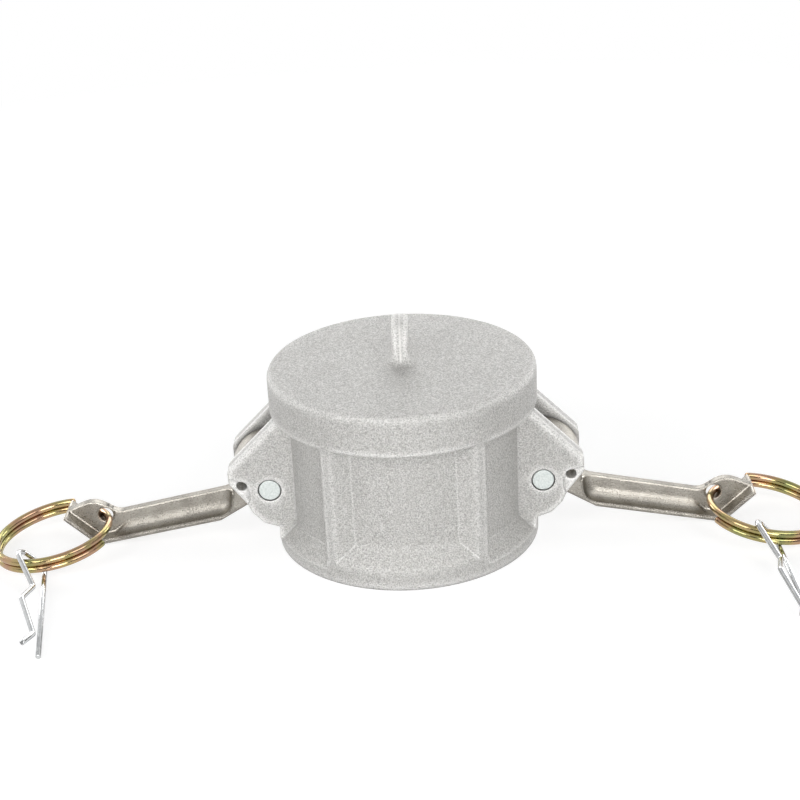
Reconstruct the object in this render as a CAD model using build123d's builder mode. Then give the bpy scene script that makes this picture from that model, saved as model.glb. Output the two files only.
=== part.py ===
from build123d import *
from math import asin, atan2, ceil, cos, degrees, hypot, radians, sin
import os

# A two inch cam and groove dust cap: a cast aluminium cap that stands mouth down, with two cam arms
# on pivot pins, a split pull ring through the end of each arm and a wire safety clip on each ring.
#
# Millimetres. The origin is at the centre of the mouth's rim, +Z runs up through the closed end, the arms
# lie open along -X and +X, and their pivot pins run along Y. The right-hand arm, pin and ring are drawn,
# and the left-hand ones are their mirror images. Both clips come from one outline, laid as each one hangs.

os.makedirs("parts", exist_ok=True)

# Cap casting, with its walls counted outwards from the bore
bore_radius = 31.95
cap_height = 54.0
end_wall = 4.0
mouth_wall = 7.05
mouth_ring_height = 6.0
panel_wall = 2.85
panel_foot_height = 11.0
side_foot_drop = 2.5
foot_rounding = 3.0
band_wall = 7.25
band_height = 12.6
band_rounding = 0.9
rim_rounding = 2.5

# Ribs between the panels, with angles counted from the front
rib_wall = 7.05
rib_flat_start_angle = 31.8
rib_flat_end_angle = 36.6
rib_bevel_angle = 25.0
rib_back_angle = 38.0
rib_rounding = 1.0

# Gasket and its groove
gasket_lip = 1.4
gasket_width = 7.95
gasket_thickness = 6.35
gasket_radial_gap = 0.25
gasket_axial_gap = 0.15

# Ears: an outline of distances from the pivot, under a slope of 45 degrees
pin_beyond_bore = 8.05
pin_z = 19.5
slot_width = 12.6
slot_end_gap = 1.2
slot_below_pin = 13.0
ear_thickness = 5.7
ear_reach = 12.0
ear_tip_height = 6.8
ear_side_foot = 2.3
ear_heel_dx = 7.0
ear_heel_dz = -4.3
ear_throat_dx = 5.7
ear_throat_dz = -7.4
ear_foot_dx = 2.4
ear_foot_dz = -10.9
ear_root_drop = 12.4
ear_corner_rounding = 2.2
ear_edge_rounding = 0.8

# Pivot pins, and the ring left open around their ends
pin_radius = 3.175
pin_chamfer = 0.2
pin_end_gap = 0.3
pin_end_depth = 0.8

# Holes for the safety clips, with the shallow spot face around them
lock_hole_radius = 1.6
lock_hole_dx = 8.1
lock_hole_dz = 1.5
lock_recess_radius = 5.3
lock_recess_dx = 11.0
lock_recess_dz = -1.5
lock_recess_depth = 0.6

# Lug on the closed end, for a tether
lug_thickness = 4.8
lug_length = 16.0
lug_height = 12.0
lug_offset = 5.3
lug_foot_rounding = 3.2
lug_edge_rounding = 0.9
tether_hole_radius = 2.6
tether_hole_height = 6.4

# Cam arm, in the open pose
arm_side_gap = 0.3
arm_bore_gap = 0.075
cam_lobe_radius = 12.3
cam_lobe_start_angle = -18.0
cam_lobe_end_angle = 85.0
cam_back_radius = 7.4
cam_flank_angle = 118.0
cam_heel_radius = 9.0
cam_heel_start_angle = -100.0
cam_heel_end_angle = -48.0
arm_edge_rounding = 0.4
arm_closing_angle = 100.0
lock_notch_gap = 0.3
neck_end_dx = 16.0
neck_end_dz = -12.6
handle_angle = -10.3
handle_length = 38.4
handle_height = 7.4
handle_web = 2.7
flange_thickness = 1.4
pocket_inner_dx = 11.4
pocket_corner_dx = 13.0
pocket_corner_rounding = 4.5
pocket_fillet = 3.2
tip_angle = 43.0
tip_length = 13.1
tip_thickness = 1.2
head_start_setback = 9.3
head_crown_back = 0.6
head_crown_height = 12.1
facet_back = 4.6
facet_angle = 139.0
facet_length = 6.0
ring_hole_radius = 2.3
ring_hole_dx = -2.4
ring_hole_dz = 8.0

# Split pull ring
ring_radius = 19.0
ring_wire_radius = 0.9
ring_pitch = 1.86
ring_turns = 1.8
ring_yaw_angle = 18.0
ring_hole_sag = 0.6
ground_gap = 0.05

# Safety clip, by distances along and across it from the straight leg under the ring
clip_wire_radius = 0.8
clip_length = 44.5
clip_bend_reach = 4.6
clip_width = 9.6
clip_bend_rounding = 3.4
clip_zigzag = [(11.5, 3.6), (23.0, 7.6), (36.0, 2.2), (43.5, 5.6)]
clip_corner_rounding = 1.5
clip_hang_gap = 0.25
right_clip_hang_angle = -12.0
right_clip_tilt_angle = 65.0
right_clip_heading_angle = 2.0
left_clip_hang_angle = 0.0
left_clip_tilt_angle = 48.0
left_clip_heading_angle = 9.0

# Worked out from the sizes above
mouth_ring_radius = bore_radius + mouth_wall
panel_radius = bore_radius + panel_wall
band_radius = bore_radius + band_wall
band_bottom = cap_height - band_height
rib_radius = bore_radius + rib_wall
pin_x = bore_radius + pin_beyond_bore
gasket_outer_radius = bore_radius + gasket_lip
gasket_inner_radius = gasket_outer_radius - gasket_width
slot_above_pin = cam_lobe_radius + slot_end_gap
arm_width = slot_width - 2 * arm_side_gap
ear_face = slot_width / 2 + ear_thickness
seat_height = cap_height - end_wall
groove_bottom = seat_height - gasket_thickness - gasket_axial_gap
side_foot_height = mouth_ring_height - side_foot_drop
cut_margin = 1.0
past_all = 2 * ear_face


def at_front_angle(radius, angle):
    """Point in plan at an angle counted from the front of the cap towards +X."""
    return (radius * sin(radians(angle)), -radius * cos(radians(angle)))


def around_pin(radius, angle):
    """Point in the arm's plane, by its distance and direction from the pivot."""
    return step((pin_x, pin_z), radius, angle)


def from_pin(dx, dz):
    """Point in the arm's plane, by its offsets from the pivot."""
    return (pin_x + dx, pin_z + dz)


def step(point, length, angle):
    """Point a length away from another, in a direction counted from +X towards +Z."""
    return (point[0] + length * cos(radians(angle)), point[1] + length * sin(radians(angle)))


def export(piece, name):
    """Label a finished piece and write it."""
    piece.label = name
    export_step(piece, f"parts/{name}.step")


# Cap body: turned form, then ribs and ears, then the bore, the slots and the holes
with BuildPart() as cap_body:
    with BuildSketch(Plane.XZ):
        with BuildLine():
            Polyline(
                (0, 0),
                (mouth_ring_radius, 0),
                (mouth_ring_radius, side_foot_height),
                (panel_radius, panel_foot_height - side_foot_drop),
                (panel_radius, band_bottom),
                (band_radius, band_bottom),
                (band_radius, cap_height),
                (0, cap_height),
                close=True,
            )
        make_face()
    revolve(axis=Axis.Z)
    rings = cap_body.edges().filter_by(GeomType.CIRCLE)
    fillet(rings.filter_by_position(Axis.Z, band_bottom, band_bottom), radius=band_rounding)
    fillet(cap_body.edges().filter_by(GeomType.CIRCLE).sort_by(Axis.Z)[-1], radius=rim_rounding)

    # The foot of the front and back panels stands higher than that of the panels beside the ears
    for facing in (0, 180):
        turn = radians(facing - 90 - rib_flat_end_angle)
        panel_edge = Plane(
            origin=(0, 0, 0), x_dir=(cos(turn), sin(turn), 0), z_dir=(sin(turn), -cos(turn), 0)
        )
        with BuildSketch(panel_edge):
            with BuildLine():
                Polyline(
                    (bore_radius, side_foot_height - cut_margin),
                    (mouth_ring_radius - cut_margin, side_foot_height - cut_margin),
                    (mouth_ring_radius, side_foot_height),
                    (mouth_ring_radius, mouth_ring_height),
                    (panel_radius, panel_foot_height),
                    (bore_radius, panel_foot_height),
                    close=True,
                )
            make_face()
        revolve(axis=Axis.Z, revolution_arc=2 * rib_flat_end_angle)
    for height in (mouth_ring_height, panel_foot_height):
        corners = cap_body.edges().filter_by(GeomType.CIRCLE).filter_by_position(Axis.Z, height, height)
        fillet(corners, radius=foot_rounding)

    # Ribs, bevelled towards the front and back panels and steep towards the ears
    with BuildSketch(Plane.XY.offset(side_foot_height)) as ribs:
        with BuildLine():
            Polyline(
                at_front_angle(panel_radius, rib_bevel_angle),
                at_front_angle(rib_radius, rib_flat_start_angle),
                at_front_angle(rib_radius, rib_flat_end_angle),
                at_front_angle(panel_radius, rib_back_angle),
                at_front_angle(bore_radius, rib_back_angle),
                at_front_angle(bore_radius, rib_bevel_angle),
                close=True,
            )
        make_face()
        rib_corners = ribs.vertices().filter_by(
            lambda corner: hypot(corner.X, corner.Y) > (panel_radius + rib_radius) / 2
        )
        fillet(rib_corners, radius=rib_rounding)
        mirror(about=Plane.YZ)
        mirror(about=Plane.XZ)
    extrude(amount=band_bottom + cut_margin - side_foot_height)

    # Two pairs of ears, rooted a little way into the panels, the band and the mouth ring
    ear_slope_end = panel_radius - cut_margin
    ear_slope_top = pin_z + ear_tip_height + (pin_x + ear_reach - ear_slope_end)
    ear_root = (mouth_ring_radius - cut_margin, pin_z - ear_root_drop)
    for near_face in (slot_width / 2, -ear_face):
        with BuildSketch(Plane.XZ.offset(near_face)):
            with BuildLine():
                FilletPolyline(
                    (ear_slope_end, ear_slope_top),
                    from_pin(ear_reach, ear_tip_height),
                    from_pin(ear_reach, ear_side_foot),
                    from_pin(ear_heel_dx, ear_heel_dz),
                    from_pin(ear_throat_dx, ear_throat_dz),
                    from_pin(ear_foot_dx, ear_foot_dz),
                    ear_root,
                    radius=ear_corner_rounding,
                )
                Polyline(
                    ear_root,
                    (ear_root[0], side_foot_height),
                    (bore_radius, side_foot_height),
                    (bore_radius, ear_slope_top),
                    (ear_slope_end, ear_slope_top),
                )
            make_face()
            mirror(about=Plane.YZ)
        extrude(amount=ear_thickness)
    ear_outer_edges = cap_body.edges().filter_by(
        lambda edge: abs(abs(edge.center().Y) - ear_face) < 0.01 and abs(edge.center().X) > mouth_ring_radius
    )
    fillet(ear_outer_edges, radius=ear_edge_rounding)

    # Bore, with the gasket's groove behind its lip
    with BuildSketch(Plane.XZ):
        with BuildLine():
            Polyline(
                (0, -cut_margin),
                (bore_radius, -cut_margin),
                (bore_radius, groove_bottom),
                (gasket_outer_radius + gasket_radial_gap, groove_bottom),
                (gasket_outer_radius + gasket_radial_gap, seat_height),
                (0, seat_height),
                close=True,
            )
        make_face()
    revolve(axis=Axis.Z, mode=Mode.SUBTRACT)

    # Slots through the wall between the ears, where the cams swing in
    with BuildSketch(Plane.XZ):
        with BuildLine():
            Polyline(
                from_pin(-pin_x / 2, -slot_below_pin),
                from_pin(past_all, -slot_below_pin),
                from_pin(past_all, slot_above_pin),
                from_pin(-pin_x / 2, slot_above_pin),
                close=True,
            )
        make_face()
        mirror(about=Plane.YZ)
    extrude(amount=slot_width / 2, both=True, mode=Mode.SUBTRACT)

    # Pivot pin holes and safety clip holes, through both ears
    with BuildSketch(Plane.XZ):
        with Locations(from_pin(0, 0)):
            Circle(pin_radius)
        with Locations(from_pin(lock_hole_dx, lock_hole_dz)):
            Circle(lock_hole_radius)
        mirror(about=Plane.YZ)
    extrude(amount=past_all, both=True, mode=Mode.SUBTRACT)
    for centre, radius, depth in (
        (from_pin(0, 0), pin_radius + pin_end_gap, pin_end_depth),
        (from_pin(lock_recess_dx, lock_recess_dz), lock_recess_radius, lock_recess_depth),
    ):
        for near_face in (ear_face - depth, -ear_face - cut_margin):
            with BuildSketch(Plane.XZ.offset(near_face)):
                with Locations(centre):
                    Circle(radius)
                mirror(about=Plane.YZ)
            extrude(amount=depth + cut_margin, mode=Mode.SUBTRACT)

    # Lug on the closed end
    with BuildSketch(Plane.YZ.offset(-lug_thickness / 2)):
        with BuildLine():
            lug_near = lug_offset - lug_length / 2
            lug_far = lug_offset + lug_length / 2
            lug_top = cap_height + lug_height
            Polyline((lug_near, cap_height), (lug_near, cap_height - cut_margin), (lug_far, cap_height - cut_margin))
            Line((lug_far, cap_height - cut_margin), (lug_far, cap_height))
            Spline(
                (lug_far, cap_height),
                (lug_offset, lug_top),
                (lug_near, cap_height),
                tangents=((0, 1), (-1, 0), (0, -1)),
            )
        make_face()
    extrude(amount=lug_thickness)
    lug_edges = cap_body.edges().filter_by(
        lambda edge: edge.center().Z > cap_height + lug_height / 4 and abs(edge.center().X) > 0.1
    )
    fillet(lug_edges, radius=lug_edge_rounding)
    lug_foot_edges = cap_body.edges().filter_by(
        lambda edge: abs(edge.center().Z - cap_height) < 0.01
        and hypot(edge.center().X, edge.center().Y - lug_offset) < lug_length
    )
    fillet(lug_foot_edges, radius=lug_foot_rounding)
    with BuildSketch(Plane.YZ):
        with Locations((lug_offset, cap_height + tether_hole_height)):
            Circle(tether_hole_radius)
    extrude(amount=lug_thickness, both=True, mode=Mode.SUBTRACT)

export(cap_body.part, "cap_body")

# Gasket: a flat rubber ring seated against the closed end
with BuildPart() as gasket:
    with BuildSketch(Plane.XY.offset(seat_height - gasket_thickness)):
        Circle(gasket_outer_radius)
        Circle(gasket_inner_radius, mode=Mode.SUBTRACT)
    extrude(amount=gasket_thickness)

export(gasket.part, "gasket")

# Pivot pin: pressed through both ears, its ends flush with them
with BuildPart() as right_pivot_pin:
    with BuildSketch(Plane.XZ):
        with Locations(from_pin(0, 0)):
            Circle(pin_radius)
    extrude(amount=ear_face, both=True)
    chamfer(right_pivot_pin.edges().filter_by(GeomType.CIRCLE), length=pin_chamfer)

export(right_pivot_pin.part, "right_pivot_pin")
export(mirror(right_pivot_pin.part, about=Plane.YZ), "left_pivot_pin")

# Corners of the cam arm's side outline
neck_end = from_pin(neck_end_dx, neck_end_dz)
handle_end = step(neck_end, handle_length, handle_angle)
tip_low = step(handle_end, tip_length, tip_angle)
tip_high = step(tip_low, tip_thickness, tip_angle + 90)
handle_top_end = step(step(handle_end, -head_start_setback, handle_angle), handle_height, handle_angle + 90)
neck_top = around_pin(cam_lobe_radius, cam_lobe_start_angle)
head_crown = (handle_end[0] + head_crown_back, handle_end[1] + head_crown_height)
ring_hole = (handle_end[0] + ring_hole_dx, handle_end[1] + ring_hole_dz)
handle_direction = (cos(radians(handle_angle)), sin(radians(handle_angle)))

# The safety clip's hole in the ears, which a notch in the cam's heel meets once the arm is closed
lock_hole_distance = hypot(lock_hole_dx, lock_hole_dz)
lock_hole_angle = degrees(atan2(lock_hole_dz, lock_hole_dx))

# Side pocket: the flange's upper face follows the handle's underside, and the tip's the raised tip
flange_normal = handle_angle + 90
flange_inner_end = step(neck_end, flange_thickness, flange_normal)
pocket_corner_x = pin_x + pocket_corner_dx
pocket_corner = step(
    flange_inner_end, (pocket_corner_x - flange_inner_end[0]) / cos(radians(handle_angle)), handle_angle
)
tip_inner_start = step(handle_end, tip_thickness, tip_angle + 90)
tip_meets_flange = (
    (flange_inner_end[1] - tip_inner_start[1]) * cos(radians(handle_angle))
    - (flange_inner_end[0] - tip_inner_start[0]) * sin(radians(handle_angle))
) / sin(radians(tip_angle - handle_angle))
flange_outer_end = step(tip_inner_start, tip_meets_flange, tip_angle)
pocket_sky = pin_z + cam_lobe_radius

# Cutter for one side pocket: rounded into the web along the handle, sharp beside the raised tip
with BuildPart() as pocket_cutter:
    with BuildSketch(Plane.XZ.offset(handle_web / 2)):
        with BuildLine():
            FilletPolyline(
                from_pin(pocket_inner_dx, cam_lobe_radius),
                from_pin(pocket_inner_dx, 0),
                pocket_corner,
                flange_outer_end,
                radius=pocket_corner_rounding,
            )
            Polyline(
                flange_outer_end,
                step(tip_inner_start, tip_length + tip_thickness, tip_angle),
                (tip_high[0] + tip_thickness, pocket_sky),
                from_pin(pocket_inner_dx, cam_lobe_radius),
            )
        make_face()
    extrude(amount=arm_width / 2)
    fillet(pocket_cutter.edges().group_by(Axis.Y)[-1].sort_by(Axis.Z)[0], radius=pocket_fillet)
    with BuildSketch(Plane.XZ.offset(handle_web / 2)):
        with BuildLine():
            facet_foot = step(flange_outer_end, -facet_back, handle_angle)
            Polyline(
                facet_foot,
                flange_outer_end,
                step(tip_inner_start, tip_length, tip_angle),
                step(facet_foot, facet_length, facet_angle),
                close=True,
            )
        make_face()
    extrude(amount=arm_width / 2)

# Cam arm: one outline as wide as the slot, hollowed from both sides down to a web and a flange
with BuildPart() as right_cam_arm:
    with BuildSketch(Plane.XZ):
        with Locations(from_pin(0, 0)):
            Circle(cam_back_radius)
        with BuildLine():
            Polyline(from_pin(0, 0), around_pin(cam_lobe_radius, cam_lobe_start_angle))
            CenterArc(from_pin(0, 0), cam_lobe_radius, cam_lobe_start_angle, cam_lobe_end_angle - cam_lobe_start_angle)
            Polyline(
                around_pin(cam_lobe_radius, cam_lobe_end_angle),
                around_pin(cam_back_radius, cam_flank_angle),
                from_pin(0, 0),
            )
        make_face()
        with BuildLine():
            Polyline(from_pin(0, 0), around_pin(cam_heel_radius, cam_heel_start_angle))
            CenterArc(from_pin(0, 0), cam_heel_radius, cam_heel_start_angle, cam_heel_end_angle - cam_heel_start_angle)
            Polyline(around_pin(cam_heel_radius, cam_heel_end_angle), neck_end, handle_end, tip_low, tip_high)
            Spline(tip_high, head_crown, tangents=((-1, 0.2), (-1, -0.1)))
            Spline(
                head_crown,
                handle_top_end,
                tangents=((-1, -0.1), (-handle_direction[0], -handle_direction[1])),
            )
            Polyline(handle_top_end, neck_top, from_pin(0, 0))
        make_face()
        with Locations(from_pin(0, 0)):
            Circle(pin_radius + arm_bore_gap, mode=Mode.SUBTRACT)
        with Locations(ring_hole):
            Circle(ring_hole_radius, mode=Mode.SUBTRACT)
        with Locations(around_pin(lock_hole_distance, lock_hole_angle - arm_closing_angle)):
            Circle(lock_hole_radius + lock_notch_gap, mode=Mode.SUBTRACT)
    extrude(amount=arm_width / 2, both=True)
    add(pocket_cutter.part, mode=Mode.SUBTRACT)
    add(mirror(pocket_cutter.part, about=Plane.XZ), mode=Mode.SUBTRACT)
    side_edges = right_cam_arm.edges().filter_by(
        lambda edge: abs(abs(edge.center().Y) - arm_width / 2) < 0.01
    )
    fillet(side_edges, radius=arm_edge_rounding)

export(right_cam_arm.part, "right_cam_arm")
export(mirror(right_cam_arm.part, about=Plane.YZ), "left_cam_arm")

# Split ring: it hangs in the arm's hole and its far side rests on the ground
stack_half = ring_pitch / 2 + ring_wire_radius
hang = (ring_hole[0], 0, ring_hole[1] - ring_hole_sag)
ring_tilt = asin((hang[2] - stack_half - ground_gap) / (ring_radius * (1 + cos(radians(ring_yaw_angle)))))
ring_out = Vector(cos(ring_tilt), 0, -sin(ring_tilt))
ring_up = Vector(sin(ring_tilt), 0, cos(ring_tilt))
ring_back = Vector(0, 1, 0)
to_centre = ring_out * cos(radians(ring_yaw_angle)) - ring_back * sin(radians(ring_yaw_angle))
ring_centre = Vector(*hang) + to_centre * ring_radius


# The ring in its own frame, with the arm's hole at +X. Each half turn is a flat arc, tilted to rise by half
# a pitch, and what lies under the hole is the upper half turned over.
with BuildPart() as upper_half:
    for half_turn in range(ceil(ring_turns)):
        start_x = ring_radius if half_turn % 2 == 0 else -ring_radius
        start_z = half_turn * ring_pitch / 2
        with BuildSketch(Plane.XZ):
            with Locations((start_x, start_z)):
                Circle(ring_wire_radius)
        revolve(
            axis=Axis((0, 0, start_z + ring_pitch / 4), (start_x / ring_radius * ring_pitch / 4, 0, ring_radius)),
            revolution_arc=min(180, 180 * (ring_turns - half_turn)),
        )

with BuildPart() as right_pull_ring:
    with Locations(Plane(origin=ring_centre, x_dir=to_centre * -1, z_dir=ring_up)):
        add(upper_half.part)
        add(upper_half.part.rotate(Axis.X, 180))

export(right_pull_ring.part, "right_pull_ring")
export(mirror(right_pull_ring.part, about=Plane.YZ), "left_pull_ring")


def clip_plane(side, hang_angle, tilt, heading):
    """Plane of a safety clip: x along it, y across it, with the straight leg on its x axis."""
    outward = ring_out * sin(radians(hang_angle)) - ring_back * cos(radians(hang_angle))
    turn = 90 + ring_yaw_angle + hang_angle
    stack_offset = -ring_pitch / 4 * (1 + cos(radians(turn)))
    point = ring_centre + outward * ring_radius + ring_up * stack_offset
    hanger = Vector(side * point.X, point.Y, point.Z)
    leg_drop = stack_half + clip_wire_radius + clip_hang_gap
    leg_height = hanger.Z - leg_drop
    fall = asin((leg_height - clip_wire_radius - ground_gap) / clip_length)
    along = Vector(
        sin(radians(heading)) * cos(fall), -cos(radians(heading)) * cos(fall), -sin(fall)
    )
    across = Vector(-cos(radians(tilt)), 0, sin(radians(tilt)))
    across = (across - along * across.dot(along)).normalized()
    origin = hanger - across * (leg_drop / across.Z)
    return Plane(origin=origin, x_dir=along, z_dir=along.cross(across))


def safety_clip(plane):
    """One wire: a straight leg, a bend inside the pull ring and a zigzag leg back over it."""
    corners = [
        (clip_length, 0),
        (-clip_bend_reach, 0),
        (-clip_bend_reach, clip_width),
        *clip_zigzag,
    ]
    roundings = [clip_bend_rounding] * 2 + [clip_corner_rounding] * (len(clip_zigzag) - 1)
    with BuildPart() as clip:
        with BuildLine(plane) as wire:
            FilletPolyline(*corners, radius=roundings)
        with BuildSketch(Plane(origin=wire.line @ 0, z_dir=wire.line % 0)):
            Circle(clip_wire_radius)
        sweep(path=wire.line)
    return clip.part


right_safety_clip = safety_clip(
    clip_plane(1, right_clip_hang_angle, right_clip_tilt_angle, right_clip_heading_angle)
)
left_safety_clip = safety_clip(
    clip_plane(-1, left_clip_hang_angle, left_clip_tilt_angle, left_clip_heading_angle)
)
export(right_safety_clip, "right_safety_clip")
export(left_safety_clip, "left_safety_clip")
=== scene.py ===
# %% [markdown]
# # Cam and groove dust cap
#
# A cam and groove cap closes the end of a hose or a tanker's outlet. It is pushed over a grooved adapter,
# and two cam arms lock it on. Here the cap stands mouth down with both arms open, a split pull ring hangs in
# each arm and a wire safety clip lies on each ring.
#
# Every piece is rigid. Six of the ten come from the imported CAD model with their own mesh. The two rings and
# the two clips are bent from wire once more, because the photograph shows them a little different. The rest
# of the lesson is about the camera, the light and the finishes. Lengths are in metres in the CAD frame, with
# Z up, the arms along X and the pivot pins along Y.

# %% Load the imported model
import bpy
from math import asin, cos, pi, radians, sin, tan
from mathutils import Matrix, Vector


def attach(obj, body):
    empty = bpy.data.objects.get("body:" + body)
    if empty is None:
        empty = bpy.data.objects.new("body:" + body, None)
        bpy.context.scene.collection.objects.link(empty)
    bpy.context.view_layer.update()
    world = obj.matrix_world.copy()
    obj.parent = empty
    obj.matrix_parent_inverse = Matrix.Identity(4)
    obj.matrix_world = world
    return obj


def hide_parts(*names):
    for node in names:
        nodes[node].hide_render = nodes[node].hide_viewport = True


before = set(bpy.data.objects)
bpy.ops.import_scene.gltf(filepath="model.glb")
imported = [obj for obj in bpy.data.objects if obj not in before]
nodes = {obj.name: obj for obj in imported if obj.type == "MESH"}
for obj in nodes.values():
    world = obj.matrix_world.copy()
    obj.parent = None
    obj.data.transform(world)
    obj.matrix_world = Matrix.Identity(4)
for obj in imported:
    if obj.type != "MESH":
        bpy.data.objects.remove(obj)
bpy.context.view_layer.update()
print("pieces", sorted(nodes))

# %% [markdown]
# ## Camera
#
# A camera could be placed by eye, but then the outlines never quite agree. This one was fitted to points
# that are easy to find in the photograph: the rims of the cap, the pivot pins and the feet of the ribs. It
# stands half a metre away, looks down at 24 degrees, and leans a little, so that the picture's right side is
# higher.

# %% Place the camera
camera_azimuth = radians(1.7)
camera_elevation = radians(24.21)
camera_roll = radians(2.97)
camera_distance = 0.5054
camera_lens = 76.8
sensor_width = 36
aim = Vector((-0.0010, 0.0046, 0.0394))

back = Vector((0, -1, 0))
back.rotate(Matrix.Rotation(-camera_elevation, 3, "X"))
back.rotate(Matrix.Rotation(camera_azimuth, 3, "Z"))
level = Matrix.Rotation(camera_azimuth, 3, "Z") @ Vector((1, 0, 0))
upright = back.cross(level)
lean = Matrix.Rotation(-camera_roll, 3, back)

scene = bpy.context.scene
camera = bpy.data.objects.new("Camera", bpy.data.cameras.new("Camera"))
scene.collection.objects.link(camera)
scene.camera = camera
camera.data.lens = camera_lens
camera.data.sensor_width = sensor_width
camera.data.clip_start = 0.01
camera.matrix_world = Matrix.Translation(aim + back * camera_distance) @ Matrix(
    (lean @ level, lean @ upright, back)
).transposed().to_4x4()
print("camera at", [round(v, 4) for v in camera.location])

# %% [markdown]
# ## Small helpers for nodes
#
# A material is a tree of nodes, and writing one line for each link soon gets long. These helpers add a node
# with its inputs by name. An input can be a number or colour, or the output of another node, which is
# linked.


# %% Add a node and fill its inputs
def fill(tree, socket, value):
    """Links the output of a node into a socket, or sets the socket's own value."""
    if isinstance(value, bpy.types.NodeSocket):
        tree.links.new(value, socket)
    else:
        socket.default_value = value


def add_node(tree, kind, settings=None, **inputs):
    """Node with its settings and with its inputs by name."""
    node = tree.nodes.new(kind)
    for name, value in (settings or {}).items():
        setattr(node, name, value)
    for name, value in inputs.items():
        fill(tree, node.inputs[name.replace("_", " ")], value)
    return node


# %% Mathematics, ranges and colours
def math(tree, operation, first, second=0.0):
    """Result of one Math node."""
    node = add_node(tree, "ShaderNodeMath", {"operation": operation})
    fill(tree, node.inputs[0], first)
    fill(tree, node.inputs[1], second)
    return node.outputs["Value"]


def spread(tree, value, from_low, from_high, to_low, to_high):
    """Value mapped from one range to another and kept inside it."""
    ends = {"From_Min": from_low, "From_Max": from_high, "To_Min": to_low, "To_Max": to_high}
    return add_node(tree, "ShaderNodeMapRange", Value=value, **ends).outputs["Result"]


def ramp(tree, factor, *stops):
    """Colour ramp: each stop is a position and a colour."""
    node = add_node(tree, "ShaderNodeValToRGB", Fac=factor)
    elements = node.color_ramp.elements
    while len(elements) < len(stops):
        elements.new(1.0)
    for element, (position, color) in zip(elements, stops):
        element.position = position
        element.color = (*color, 1)
    return node.outputs["Color"]


def mix(tree, factor, first, second):
    """Colour between two colours."""
    node = add_node(tree, "ShaderNodeMix", {"data_type": "RGBA"})
    fill(tree, node.inputs[0], factor)
    for socket, value in ((node.inputs[6], first), (node.inputs[7], second)):
        fill(tree, socket, value if isinstance(value, bpy.types.NodeSocket) else (*value, 1))
    return node.outputs[2]


# %% Coordinates and new materials
def object_place(tree):
    """Coordinates in metres that stay with the piece when it moves."""
    return add_node(tree, "ShaderNodeTexCoord").outputs["Object"]


def new_material(name):
    """Material with nodes: the material, its tree and its Principled shader."""
    material = bpy.data.materials.new(name)
    material.use_nodes = True
    return material, material.node_tree, material.node_tree.nodes["Principled BSDF"]


# %% [markdown]
# ## White sweep
#
# The photograph was taken on a white sweep, which leaves next to no shadow. A floor lit to pure white by the
# lamps would overexpose the metal. So the floor is a pale grey that glows a little, but only for the camera
# and for reflections: it adds no light to the cap. The shadow stays in it, and further out the floor is
# plain white.

# %% Make the floor
floor_half = 8.0
floor_color = (0.42, 0.42, 0.42)
floor_glow = 0.72
shadow_reach = 0.30
white_reach = 0.60


def seen_ray(tree):
    """1 where the camera or a reflection looks, and 0 for the light itself."""
    path = add_node(tree, "ShaderNodeLightPath")
    return math(tree, "MAXIMUM", path.outputs["Is Camera Ray"], path.outputs["Is Glossy Ray"])


floor_mesh = bpy.data.meshes.new("Floor")
corners = [(-1, -1), (1, -1), (1, 1), (-1, 1)]
floor_mesh.from_pydata([(floor_half * x, floor_half * y, 0) for x, y in corners], [], [(0, 1, 2, 3)])
floor = bpy.data.objects.new("Floor", floor_mesh)
scene.collection.objects.link(floor)

floor_material, tree, shader = new_material("Floor")
length = add_node(tree, "ShaderNodeVectorMath", {"operation": "LENGTH"}, Vector=object_place(tree))
distance = length.outputs["Value"]
whiteness = spread(tree, distance, shadow_reach, white_reach, 0.0, 1.0)
glow = spread(tree, distance, shadow_reach, white_reach, floor_glow, 1.0)
fill(tree, shader.inputs["Base Color"], mix(tree, whiteness, floor_color, (0, 0, 0)))
fill(tree, shader.inputs["Emission Strength"], math(tree, "MULTIPLY", seen_ray(tree), glow))
shader.inputs["Emission Color"].default_value = (1, 1, 1, 1)
shader.inputs["Roughness"].default_value = 1.0
shader.inputs["Specular IOR Level"].default_value = 0.0
floor_mesh.materials.append(floor_material)
print("floor", floor_half * 2, "m square")

# %% [markdown]
# ## World
#
# The camera sees plain white all round. A reflection sees the studio: white on all sides, except for the
# dark room in front, low down, where the photographer stands, and a greyer ceiling. Polished edges and wires
# need that contrast, because metal shows nothing but what stands around it. The light that falls on the cap
# is even.

# %% Make the world
world_light = 0.18
room_gray = 0.12
room_front, room_side = -0.55, -0.10
room_top, room_end = 0.42, 0.62
ceiling_gray = 0.65
ceiling_low, ceiling_high = 0.70, 0.95

scene.view_settings.view_transform = "Standard"
world = bpy.data.worlds.new("World")
scene.world = world
world.use_nodes = True
tree = world.node_tree
direction = add_node(
    tree, "ShaderNodeSeparateXYZ", Vector=add_node(tree, "ShaderNodeTexCoord").outputs["Generated"]
)
aside = spread(tree, direction.outputs["Y"], room_front, room_side, room_gray, 1.0)
above = spread(tree, direction.outputs["Z"], room_top, room_end, room_gray, 1.0)
ceiling = spread(tree, direction.outputs["Z"], ceiling_low, ceiling_high, 1.0, ceiling_gray)
studio = math(tree, "MULTIPLY", math(tree, "MAXIMUM", aside, above), ceiling)
path = add_node(tree, "ShaderNodeLightPath").outputs
metal_sees = add_node(
    tree, "ShaderNodeMix", {"data_type": "FLOAT"}, Factor=path["Is Glossy Ray"], A=world_light, B=studio
)
all_see = add_node(
    tree, "ShaderNodeMix", {"data_type": "FLOAT"}, Factor=path["Is Camera Ray"], A=metal_sees.outputs[0], B=1.0
)
background = tree.nodes["Background"]
background.inputs["Color"].default_value = (1, 1, 1, 1)
fill(tree, background.inputs["Strength"], all_see.outputs[0])

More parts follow.
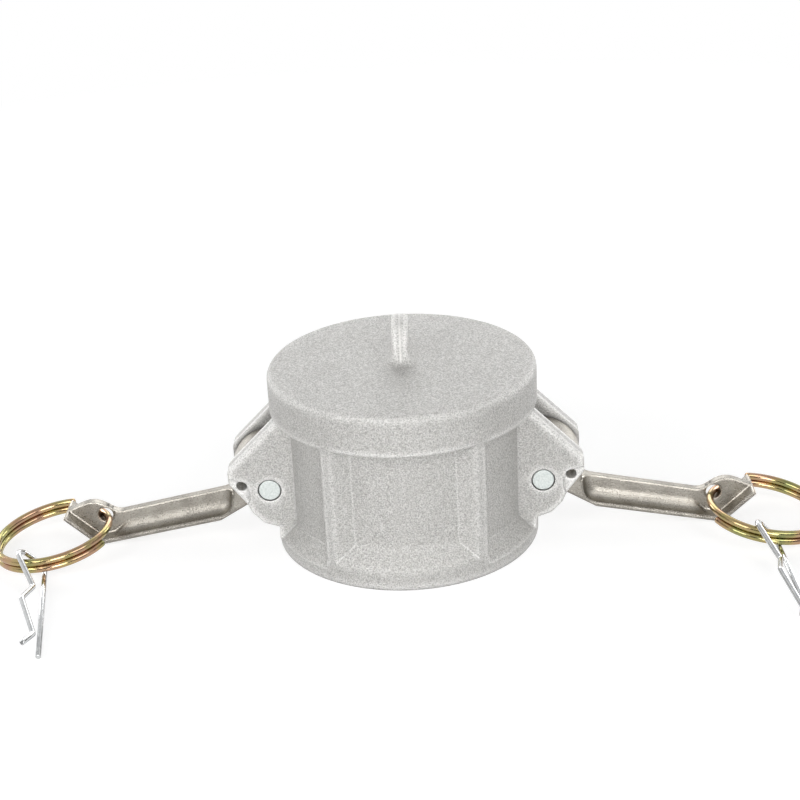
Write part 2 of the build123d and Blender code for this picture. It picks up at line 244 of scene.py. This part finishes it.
# %% [markdown]
# ## Lamps
#
# Six square soft boxes. Two stand in front on the left and right, so that faces which slope up are the
# brightest and the hollow of each arm mirrors one of them. A low one in front lights the upright faces. The
# one straight behind is low enough for the flat tops of the arms to mirror it to the camera, which makes
# them white. The last two stand low behind, and light the back of the cap without reaching the top.


# %% Place the lamps
def soft_box(name, position, size, power):
    """Square lamp that faces the cap."""
    lamp = bpy.data.objects.new(name, bpy.data.lights.new(name, "AREA"))
    scene.collection.objects.link(lamp)
    lamp.data.size = size
    lamp.data.energy = power
    lamp.location = position
    lamp.rotation_euler = (aim - Vector(position)).to_track_quat("-Z", "Y").to_euler()
    print(name, position, power, "W")


soft_box("Left lamp", (-0.68, -0.58, 0.50), 0.50, 3.4)
soft_box("Right lamp", (0.55, -0.50, 0.65), 0.50, 2.0)
soft_box("Front lamp", (0.10, -1.00, 0.25), 0.50, 5.8)
soft_box("Back lamp", (0.0, 0.85, 0.46), 0.60, 2.4)
soft_box("Low left lamp", (-0.75, 0.65, 0.22), 0.40, 2.4)
soft_box("Low right lamp", (0.75, 0.65, 0.22), 0.40, 2.4)

# %% [markdown]
# ## Shared effects
#
# The edge mask and grain come up in every finish here, so each is a node group with named sockets, built once
# and placed in each material with its own values. Corners are needed by the casting alone, and are built the
# same way, so that both of their masks stay together.
#
# Edge highlight and wear: the Bevel node gives the normal that a slightly rounded edge would have. Where it
# turns away from the true normal there is an edge, where the materials paint a highlight or a dark reflection,
# and on the casting some wear. The rounded normal itself is passed on, so that the edge also catches light.
#
# Grain: blasted and plated metal is never quite smooth. One noise gives both a value for colours and
# roughness and the small relief of the surface. Its pitch and depth are in metres.
#
# Corners: inner corners and gaps get painted shade, and outer crests a painted highlight, partly wear. The
# Ambient Occlusion node measures how closed in a point is, within a short reach. Turned to the inside of the
# metal, it finds the crests of rounded edges, which the Bevel node misses.


# %% Start a node group
def new_group(name, inputs, outputs):
    """Empty shader node group with named sockets: the group, its inputs and its outputs."""
    group = bpy.data.node_groups.new(name, "ShaderNodeTree")
    for label, kind in inputs:
        group.interface.new_socket(name=label, in_out="INPUT", socket_type=kind)
    for label, kind in outputs:
        group.interface.new_socket(name=label, in_out="OUTPUT", socket_type=kind)
    return group, group.nodes.new("NodeGroupInput").outputs, group.nodes.new("NodeGroupOutput").inputs


# %% Edge highlight and wear group
edge_highlight_and_wear, given, result = new_group(
    "Edge highlight and wear",
    [("Width", "NodeSocketFloat")],
    [("Edge", "NodeSocketFloat"), ("Normal", "NodeSocketVector")],
)
bevel = add_node(edge_highlight_and_wear, "ShaderNodeBevel", {"samples": 6}, Radius=given["Width"])
round_normal = bevel.outputs["Normal"]
true_normal = add_node(edge_highlight_and_wear, "ShaderNodeNewGeometry").outputs["True Normal"]
turn = add_node(edge_highlight_and_wear, "ShaderNodeVectorMath", {"operation": "DOT_PRODUCT"})
fill(edge_highlight_and_wear, turn.inputs[0], round_normal)
fill(edge_highlight_and_wear, turn.inputs[1], true_normal)
# The Edge mask marks where the materials paint highlights, dark reflections and some wear.
fill(edge_highlight_and_wear, result["Edge"], spread(edge_highlight_and_wear, turn.outputs["Value"], 0.985, 0.90, 0.0, 1.0))
fill(edge_highlight_and_wear, result["Normal"], round_normal)

# %% Grain group
grain_group, given, result = new_group(
    "Grain",
    [("Pitch", "NodeSocketFloat"), ("Depth", "NodeSocketFloat"), ("Normal", "NodeSocketVector")],
    [("Grain", "NodeSocketFloat"), ("Normal", "NodeSocketVector")],
)
speckle = add_node(
    grain_group,
    "ShaderNodeTexNoise",
    Vector=object_place(grain_group),
    Scale=math(grain_group, "DIVIDE", 1.0, given["Pitch"]),
    Detail=2.0,
).outputs["Fac"]
height = spread(grain_group, speckle, 0.30, 0.70, 0.0, 1.0)
relief = add_node(
    grain_group, "ShaderNodeBump", Height=height, Distance=given["Depth"], Normal=given["Normal"]
)
fill(grain_group, result["Grain"], height)
fill(grain_group, result["Normal"], relief.outputs["Normal"])

# %% Corners group
corner_group, given, result = new_group(
    "Corners", [("Reach", "NodeSocketFloat")], [("Inner", "NodeSocketFloat"), ("Outer", "NodeSocketFloat")]
)
for label, inside, start, end in (("Inner", False, 0.85, 0.25), ("Outer", True, 0.94, 0.62)):
    closed_in = add_node(
        corner_group, "ShaderNodeAmbientOcclusion", {"samples": 8, "inside": inside}, Distance=given["Reach"]
    )
    fill(corner_group, result[label], spread(corner_group, closed_in.outputs["AO"], start, end, 0.0, 1.0))
print("groups", [group.name for group in bpy.data.node_groups])


# %% Place the groups
def edges_lit_and_worn(tree, width):
    """Outputs of the Edge highlight and wear group: Edge and Normal."""
    return add_node(tree, "ShaderNodeGroup", {"node_tree": edge_highlight_and_wear}, Width=width).outputs


def grained(tree, pitch, depth, normal):
    """Outputs of the Grain group: Grain and Normal."""
    group = {"node_tree": grain_group}
    return add_node(tree, "ShaderNodeGroup", group, Pitch=pitch, Depth=depth, Normal=normal).outputs


def corners_of(tree, reach):
    """Outputs of the Corners group: Inner, 1 deep in a gap, and Outer, 1 on a crest."""
    return add_node(tree, "ShaderNodeGroup", {"node_tree": corner_group}, Reach=reach).outputs


# %% [markdown]
# ## Cast aluminium
#
# The cap was cast in sand and blasted: a light, slightly warm grey, dull, with a sparkling grain 0.4
# millimetre across. Three things sit on the grain: broad faint clouds, a few dark pores, and a painted
# highlight on edges and crests, partly wear, only on the high grains. Inner corners and gaps get painted
# shade, except on top, around the foot of the lug. Where the two halves of the mould met, a fine seam runs
# over the lug.

# %% Cast aluminium
cast_aluminium, tree, shader = new_material("Cast aluminium")
edges = edges_lit_and_worn(tree, width=0.0010)
corner = corners_of(tree, reach=0.0027)
clouds = grained(tree, pitch=0.011, depth=0.00003, normal=edges["Normal"])
fine = grained(tree, pitch=0.00039, depth=0.00013, normal=clouds["Normal"])
pores = grained(tree, pitch=0.0016, depth=0.0, normal=edges["Normal"])["Grain"]
place = add_node(tree, "ShaderNodeSeparateXYZ", Vector=object_place(tree)).outputs

fine_color = ramp(tree, fine["Grain"], (0.1, (0.37, 0.365, 0.35)), (0.9, (0.73, 0.72, 0.70)))
cloud_color = mix(tree, spread(tree, clouds["Grain"], 0.0, 1.0, 0.0, 0.16), fine_color, (0.42, 0.41, 0.39))
pore_color = mix(tree, spread(tree, pores, 0.10, 0.0, 0.0, 0.25), cloud_color, (0.25, 0.24, 0.23))
# Painted highlight on edges and crests, partly wear: lighter and more metallic, on the high grains only.
crest = math(tree, "MAXIMUM", corner["Outer"], edges["Edge"])
crest_wear_and_highlight = math(tree, "MULTIPLY", crest, spread(tree, fine["Grain"], 0.10, 0.60, 0.35, 1.0))
crest_wear_and_highlight_color = mix(tree, crest_wear_and_highlight, pore_color, (0.92, 0.91, 0.89))
# Painted shade in inner corners and gaps, from ambient occlusion, none on the top face around the lug's foot.
below_top = spread(tree, place["Z"], 0.0520, 0.0535, 0.85, 0.0)
painted_shade_color = mix(tree, math(tree, "MULTIPLY", corner["Inner"], below_top), crest_wear_and_highlight_color, (0.07, 0.066, 0.062))

seam_side = spread(tree, math(tree, "ABSOLUTE", place["X"]), 0.00012, 0.00040, 1.0, 0.0)
seam = math(tree, "MULTIPLY", seam_side, spread(tree, place["Z"], 0.0545, 0.0550, 0.0, 1.0))
seam_color = mix(tree, math(tree, "MULTIPLY", seam, 0.7), painted_shade_color, (0.88, 0.87, 0.85))
fill(tree, shader.inputs["Base Color"], seam_color)
fill(tree, shader.inputs["Metallic"], spread(tree, crest_wear_and_highlight, 0.0, 1.0, 0.20, 0.55))
dull = spread(tree, fine["Grain"], 0.0, 1.0, 0.58, 0.36)
fill(tree, shader.inputs["Roughness"], math(tree, "SUBTRACT", dull, math(tree, "MULTIPLY", crest_wear_and_highlight, 0.12)))
fill(tree, shader.inputs["Normal"], fine["Normal"])

# %% [markdown]
# ## Satin steel
#
# The cam arms are cast steel, tumbled to a satin shine. Flat faces are a warm grey, the rounded walls of the
# pocket gleam, and every rim gets a painted dark reflection with a painted highlight beside it. The Edge
# highlight and wear mask gives both from one ramp: dark where it starts and bright in its middle.

# %% Satin steel
satin_steel, tree, shader = new_material("Satin steel")
edges = edges_lit_and_worn(tree, width=0.0012)
fine = grained(tree, pitch=0.00038, depth=0.00005, normal=edges["Normal"])
clouds = grained(tree, pitch=0.005, depth=0.0, normal=edges["Normal"])["Grain"]

steel_color = ramp(tree, clouds, (0.0, (0.32, 0.30, 0.265)), (1.0, (0.44, 0.415, 0.37)))
fine_color = mix(tree, spread(tree, fine["Grain"], 0.0, 1.0, 0.30, 0.0), steel_color, (0.14, 0.13, 0.12))
# Painted light on every rim: a painted dark reflection, and inside it a painted highlight brighter than white.
painted_dark_reflection = (0.14, 0.135, 0.13)
painted_highlight = (2.2, 2.2, 2.2)
painted_rim_light = ramp(
    tree, edges["Edge"], (0.0, (1, 1, 1)), (0.06, painted_dark_reflection), (0.84, painted_dark_reflection), (0.98, painted_highlight)
)
rim = add_node(tree, "ShaderNodeMix", {"data_type": "RGBA", "blend_type": "MULTIPLY", "clamp_result": True})
fill(tree, rim.inputs[0], 1.0)
fill(tree, rim.inputs[6], fine_color)
fill(tree, rim.inputs[7], painted_rim_light)
fill(tree, shader.inputs["Base Color"], rim.outputs[2])
shader.inputs["Metallic"].default_value = 1.0
fill(tree, shader.inputs["Roughness"], spread(tree, fine["Grain"], 0.0, 1.0, 0.24, 0.38))
fill(tree, shader.inputs["Normal"], fine["Normal"])

# %% [markdown]
# ## Bright zinc on the pins
#
# The ends of the pivot pins are plain zinc: bright, faintly green, with a dull mottled face.

# %% Bright zinc
bright_zinc, tree, shader = new_material("Bright zinc")
edges = edges_lit_and_worn(tree, width=0.0003)
fine = grained(tree, pitch=0.0006, depth=0.00004, normal=edges["Normal"])
zinc_color = ramp(tree, fine["Grain"], (0.0, (0.60, 0.65, 0.63)), (1.0, (0.80, 0.84, 0.82)))
fill(tree, shader.inputs["Base Color"], zinc_color)
shader.inputs["Metallic"].default_value = 0.5
fill(tree, shader.inputs["Roughness"], spread(tree, fine["Grain"], 0.0, 1.0, 0.50, 0.38))
fill(tree, shader.inputs["Normal"], fine["Normal"])

# %% [markdown]
# ## Yellow zinc on the rings
#
# Yellow chromate on zinc is a thin film, so its colour drifts along the wire from straw to pink and to a
# pale green. A ramp over a slow noise paints that drift, and a low roughness keeps the wire's dark and
# bright lines.

# %% Yellow zinc
yellow_zinc, tree, shader = new_material("Yellow zinc")
edges = edges_lit_and_worn(tree, width=0.0003)
film = grained(tree, pitch=0.0080, depth=0.0, normal=edges["Normal"])["Grain"]
fine = grained(tree, pitch=0.0007, depth=0.00001, normal=edges["Normal"])
film_color = ramp(
    tree,
    film,
    (0.00, (0.27, 0.28, 0.12)),
    (0.28, (0.39, 0.33, 0.145)),
    (0.50, (0.46, 0.325, 0.175)),
    (0.72, (0.45, 0.28, 0.19)),
    (1.00, (0.31, 0.28, 0.12)),
)
fill(tree, shader.inputs["Base Color"], film_color)
shader.inputs["Metallic"].default_value = 1.0
fill(tree, shader.inputs["Roughness"], spread(tree, fine["Grain"], 0.0, 1.0, 0.10, 0.20))
fill(tree, shader.inputs["Normal"], fine["Normal"])

# %% [markdown]
# ## Bright wire
#
# The safety clips are drawn steel wire with a bright plating. Drawing leaves fine scratches, which show as
# darker and lighter grains.

# %% Bright wire
bright_wire, tree, shader = new_material("Bright wire")
edges = edges_lit_and_worn(tree, width=0.0003)
fine = grained(tree, pitch=0.0011, depth=0.00001, normal=edges["Normal"])
wire_color = ramp(tree, fine["Grain"], (0.0, (0.54, 0.55, 0.56)), (1.0, (0.68, 0.69, 0.69)))
fill(tree, shader.inputs["Base Color"], wire_color)
shader.inputs["Metallic"].default_value = 1.0
fill(tree, shader.inputs["Roughness"], spread(tree, fine["Grain"], 0.0, 1.0, 0.08, 0.15))
fill(tree, shader.inputs["Normal"], fine["Normal"])

# %% [markdown]
# ## Black rubber
#
# The gasket inside the mouth is moulded rubber: near black, dull, with the fine grain of its mould.

# %% Black rubber
black_rubber, tree, shader = new_material("Black rubber")
edges = edges_lit_and_worn(tree, width=0.0004)
fine = grained(tree, pitch=0.0006, depth=0.00003, normal=edges["Normal"])
rubber_color = ramp(tree, fine["Grain"], (0.0, (0.018, 0.018, 0.019)), (1.0, (0.034, 0.034, 0.035)))
fill(tree, shader.inputs["Base Color"], rubber_color)
fill(tree, shader.inputs["Roughness"], spread(tree, fine["Grain"], 0.0, 1.0, 0.70, 0.52))
fill(tree, shader.inputs["Normal"], fine["Normal"])

# %% [markdown]
# ## Split rings
#
# A split ring is one wire wound nearly twice, so that it can be worked into the arm's hole. The photograph
# shows thicker wire than the frame's rings have, and rings that hang a little further turned. So each is
# made here again as a curve: the points of a helix, given a round section. It hangs in the same hole, its
# far side rests on the floor, and it rides on the same body as the frame's ring, which it replaces.

# %% Wires from points
wire_facets = 6
wire_end = 0.00025
wire_end_taper = 0.75


def wire(name, points, radius, material):
    """Curve piece with a round section and ends that are slightly chamfered."""
    curve = bpy.data.curves.new(name, "CURVE")
    curve.dimensions = "3D"
    curve.bevel_depth = radius
    curve.bevel_resolution = wire_facets
    curve.use_fill_caps = True
    first = points[0] + (points[0] - points[1]).normalized() * wire_end
    last = points[-1] + (points[-1] - points[-2]).normalized() * wire_end
    spline = curve.splines.new("POLY")
    spline.points.add(len(points) + 1)
    for target, point in zip(spline.points, (first, *points, last)):
        target.co = (*point, 1)
    spline.points[0].radius = spline.points[-1].radius = wire_end_taper
    curve.materials.append(material)
    piece = bpy.data.objects.new(name, curve)
    scene.collection.objects.link(piece)
    return piece


# %% Where a ring hangs
ring_hole = Vector((0.09138, 0, 0.00803))
ring_sag = 0.0006
ring_radius = 0.0170
ring_wire = 0.0011
ring_pitch = 0.00226
ring_turns = 1.72
ring_yaw = radians(27)
rest_gap = 0.00005

hang = ring_hole - Vector((0, 0, ring_sag))
ring_drop = hang.z - ring_pitch / 2 - ring_wire - rest_gap
ring_tilt = asin(ring_drop / (ring_radius * (1 + cos(ring_yaw))))
ring_out = Vector((cos(ring_tilt), 0, -sin(ring_tilt)))
ring_up = Vector((sin(ring_tilt), 0, cos(ring_tilt)))
ring_back = Vector((0, 1, 0))
to_centre = ring_out * cos(ring_yaw) - ring_back * sin(ring_yaw)
ring_centre = hang + to_centre * ring_radius
print("ring tilt", round(ring_tilt, 3), "centre", [round(v, 4) for v in ring_centre])

# %% Make both rings
ring_steps = 240
half_turn = pi * ring_turns
to_side = ring_up.cross(-to_centre)
ring_points = []
for step in range(ring_steps + 1):
    angle = half_turn * (2 * step / ring_steps - 1)
    around = to_side * sin(angle) - to_centre * cos(angle)
    ring_points.append(ring_centre + around * ring_radius + ring_up * ring_pitch * angle / (2 * pi))

for side, side_name in ((1, "right"), (-1, "left")):
    side_points = [Vector((side * point.x, point.y, point.z)) for point in ring_points]
    ring = wire(side_name + "_split_ring", side_points, ring_wire, yellow_zinc)
    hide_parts(side_name + "_pull_ring")
    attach(ring, side_name + "_ring")
    print(ring.name, len(ring_points), "points")

# %% [markdown]
# ## Safety clips
#
# A safety clip, or hairpin, is one bent wire: a straight leg, a bend and a zigzag leg that grips. Both are
# bent here from one outline in a plane, with every corner rounded. In the photograph each straight leg lies
# under its ring with its far end on the floor, and the zigzag leg lies over the ring. The two clips differ
# in their place on the ring, in the turn of that plane, in their heading and in the gap that they leave
# under the ring.


# %% Round the corners of a wire
def rounded(corners, radii, steps=8):
    """Points along straight runs whose inner corners are replaced by arcs."""
    points = [corners[0]]
    for before, corner, after, radius in zip(corners, corners[1:], corners[2:], radii):
        to_before, to_after = (before - corner).normalized(), (after - corner).normalized()
        opening = to_before.angle(to_after)
        middle = corner + (to_before + to_after).normalized() * radius / sin(opening / 2)
        reach = radius / tan(opening / 2)
        start, end = corner + to_before * reach - middle, corner + to_after * reach - middle
        turn = start.angle(end)
        for step in range(steps + 1):
            share = step / steps
            points.append(middle + (start * sin((1 - share) * turn) + end * sin(share * turn)) / sin(turn))
    return points + [corners[-1]]


# %% Make both clips
clip_wire = 0.0008
clip_length = 0.0445
clip_reach = 0.0037
clip_width = 0.0123
clip_zigzag = [(0.0115, 0.0036), (0.0218, 0.0073), (0.0355, 0.0023), (0.0432, 0.0056)]
clip_outline = [(clip_length, 0), (-clip_reach, 0), (-clip_reach, clip_width), *clip_zigzag]
clip_roundings = [0.0034, 0.0034, 0.0015, 0.0015, 0.0015]
stack_half = ring_pitch / 2 + ring_wire

clip_places = [
    # side, name, place on the ring, tilt, heading, gap under the ring
    (1, "right", radians(-10), radians(50), radians(1.5), 0.0010),
    (-1, "left", radians(10), radians(48), radians(9), 0.0003),
]
for side, side_name, place_on_ring, tilt, heading, under_gap in clip_places:
    clip_drop = stack_half + clip_wire + under_gap
    on_ring = ring_centre + (ring_out * sin(place_on_ring) - ring_back * cos(place_on_ring)) * ring_radius
    on_ring.x *= side
    fall = asin((on_ring.z - clip_drop - clip_wire - rest_gap) / clip_length)
    along = Vector((sin(heading) * cos(fall), -cos(heading) * cos(fall), -sin(fall)))
    across = Vector((-cos(tilt), 0, sin(tilt)))
    across = (across - along * across.dot(along)).normalized()
    origin = on_ring - across * (clip_drop / across.z)
    corners = [origin + along * x + across * y for x, y in clip_outline]
    clip = wire(side_name + "_hairpin", rounded(corners, clip_roundings), clip_wire, bright_wire)
    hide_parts(side_name + "_safety_clip")
    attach(clip, side_name + "_clip")
    print(clip.name, "lies at", [round(v, 4) for v in on_ring])

# %% [markdown]
# ## Dress the pieces
#
# Each CAD piece gets its finish in its material slot. The meshes stay as they are. The four pieces that the
# wires stand for stay hidden, and get theirs all the same.

# %% Give each piece its finish
finishes = {
    "cap_body": cast_aluminium,
    "gasket": black_rubber,
    "left_pivot_pin": bright_zinc,
    "right_pivot_pin": bright_zinc,
    "left_cam_arm": satin_steel,
    "right_cam_arm": satin_steel,
    "left_pull_ring": yellow_zinc,
    "right_pull_ring": yellow_zinc,
    "left_safety_clip": bright_wire,
    "right_safety_clip": bright_wire,
}
for name, material in finishes.items():
    mesh = nodes[name].data
    mesh.materials.clear()
    mesh.materials.append(material)
    print(name, "in", material.name)
